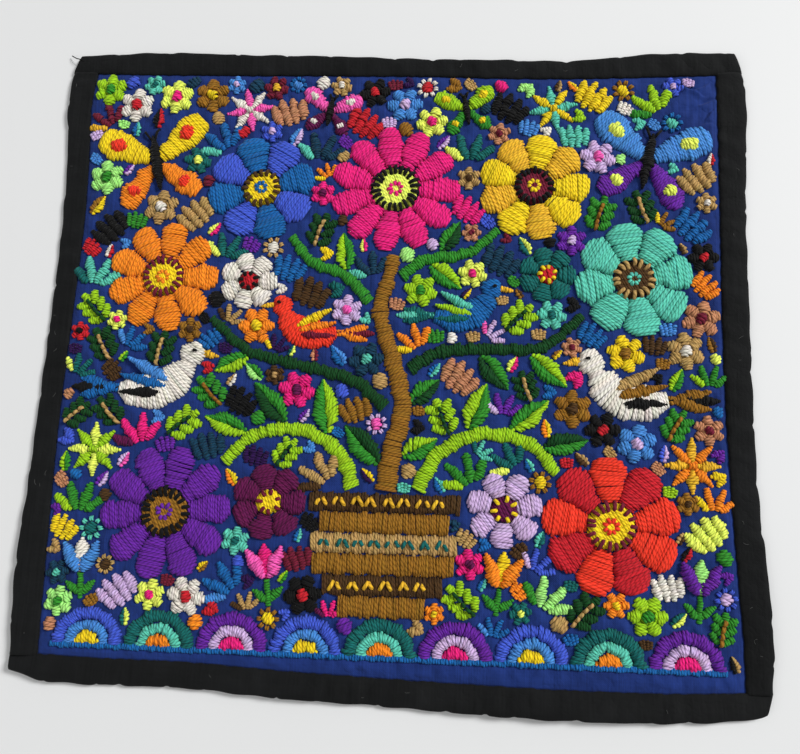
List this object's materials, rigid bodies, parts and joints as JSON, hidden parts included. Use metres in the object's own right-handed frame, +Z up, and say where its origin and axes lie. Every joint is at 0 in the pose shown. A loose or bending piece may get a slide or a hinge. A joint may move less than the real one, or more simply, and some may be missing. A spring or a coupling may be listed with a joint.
{
  "type": "arpillera textile",
  "caption": "Flat embroidered cotton cloth with raised satin stitch garden motifs in thick yarn and a folded black cotton border.",
  "frame": {"origin": "middle of the cloth's box, on the surface that it lies on", "axes": "+X along the cloth's width to the right, +Y towards its upper edge, +Z up from the surface, out of the stitched face"},
  "size_m": [0.4008, 0.371, 0.0053],
  "materials": {
    "cotton_blue": "plain-weave royal blue cotton",
    "cotton_black": "plain-weave black cotton, folded",
    "yarn_cream": "two-ply wool yarn in satin stitch",
    "yarn_ochre": "two-ply wool yarn in satin stitch",
    "yarn_lime": "two-ply wool yarn in satin stitch",
    "yarn_green": "two-ply wool yarn in satin stitch",
    "yarn_dark_green": "two-ply wool yarn in satin stitch",
    "yarn_teal": "two-ply wool yarn in satin stitch",
    "yarn_mint": "two-ply wool yarn in satin stitch",
    "yarn_blue": "two-ply wool yarn in satin stitch",
    "yarn_sky": "two-ply wool yarn in satin stitch",
    "yarn_cornflower": "two-ply wool yarn in satin stitch",
    "yarn_purple": "two-ply wool yarn in satin stitch",
    "yarn_lilac": "two-ply wool yarn in satin stitch",
    "yarn_plum": "two-ply wool yarn in satin stitch",
    "yarn_hot_pink": "two-ply wool yarn in satin stitch",
    "yarn_pink": "two-ply wool yarn in satin stitch",
    "yarn_orange": "two-ply wool yarn in satin stitch",
    "yarn_red_orange": "two-ply wool yarn in satin stitch",
    "yarn_yellow": "two-ply wool yarn in satin stitch",
    "yarn_golden": "two-ply wool yarn in satin stitch",
    "yarn_neon": "two-ply wool yarn in satin stitch"
  },
  "bodies": {
    "root": {"ground_cloth": "cotton_blue", "border_top": "cotton_black", "border_bottom": "cotton_black", "border_left": "cotton_black", "border_right": "cotton_black", "scallop_row": "yarn_blue", "pot": "yarn_ochre", "stem_trunk": "yarn_ochre", "stem_low_left": "yarn_lime", "stem_low_right": "yarn_lime", "stem_mid_left": "yarn_dark_green", "stem_mid_right": "yarn_dark_green", "stem_top_left": "yarn_green", "stem_top_right": "yarn_green", "leaf_01": "yarn_green", "leaf_02": "yarn_lime", "leaf_03": "yarn_green", "leaf_04": "yarn_green", "leaf_05": "yarn_dark_green", "leaf_06": "yarn_lime", "leaf_07": "yarn_lime", "leaf_08": "yarn_green", "leaf_09": "yarn_dark_green", "leaf_10": "yarn_lime", "leaf_11": "yarn_green", "leaf_12": "yarn_lime", "leaf_13": "yarn_lime", "leaf_14": "yarn_lime", "leaf_15": "yarn_green", "flower_purple": "yarn_purple", "flower_red": "yarn_red_orange", "flower_orange": "yarn_orange", "flower_mint": "yarn_mint", "flower_pink": "yarn_hot_pink", "flower_cornflower": "yarn_cornflower", "flower_golden": "yarn_yellow", "flower_plum": "yarn_plum", "flower_lilac": "yarn_lilac", "flower_cream": "yarn_cream", "flower_teal": "yarn_teal", "bird_white_left": "yarn_cream", "bird_white_right": "yarn_cream", "bird_red": "yarn_red_orange", "bird_blue": "yarn_blue", "butterfly_left": "yarn_yellow", "butterfly_right": "yarn_sky", "butterfly_top_left": "yarn_pink", "butterfly_top_right": "yarn_lime", "star_left": "yarn_neon", "star_right": "yarn_golden", "star_top_left": "yarn_pink", "star_top_right": "yarn_mint", "tulip_left": "yarn_pink", "tulip_right": "yarn_orange", "tulip_far_left": "yarn_sky", "tulip_far_right": "yarn_purple"}
  },
  "joints": []
}
